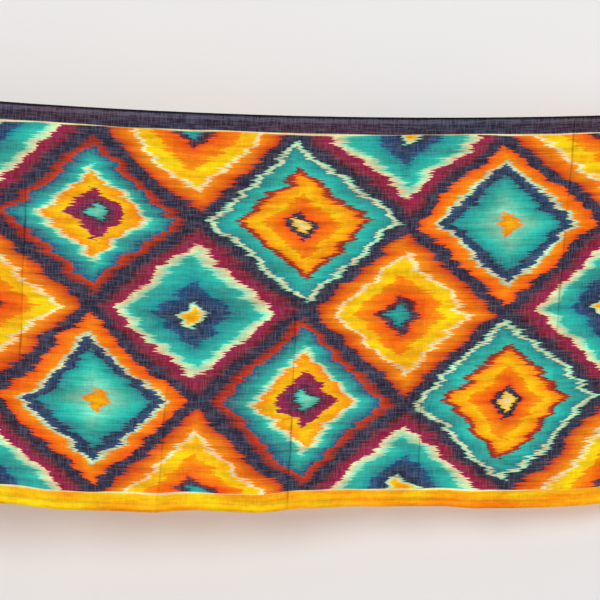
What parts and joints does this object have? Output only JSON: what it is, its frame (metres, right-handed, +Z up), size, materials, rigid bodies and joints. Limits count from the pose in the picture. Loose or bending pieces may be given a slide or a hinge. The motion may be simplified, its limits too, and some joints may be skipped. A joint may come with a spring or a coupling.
{
  "type": "silk modal scarf",
  "caption": "Wide printed scarf hanging open by its top corners, with a sagging top edge, narrow turned hems, pressed fold lines and soft folds.",
  "frame": {"origin": "the middle of the top edge, half way between the two top corners by which the scarf is held", "axes": "+X along the top edge towards the right of the printed face, -Y out of the printed face, +Z up"},
  "size_m": [1.8476, 0.026, 0.7237],
  "materials": {
    "printed_cloth": "fine plain weave of silk and modal, dyed in bands of many colours, matt with a soft sheen",
    "sewing_thread": "fine polished sewing thread"
  },
  "bodies": {
    "root": {"panel": "printed_cloth", "hem_top": "printed_cloth", "hem_bottom": "printed_cloth", "hem_left": "printed_cloth", "hem_right": "printed_cloth"}
  },
  "joints": []
}
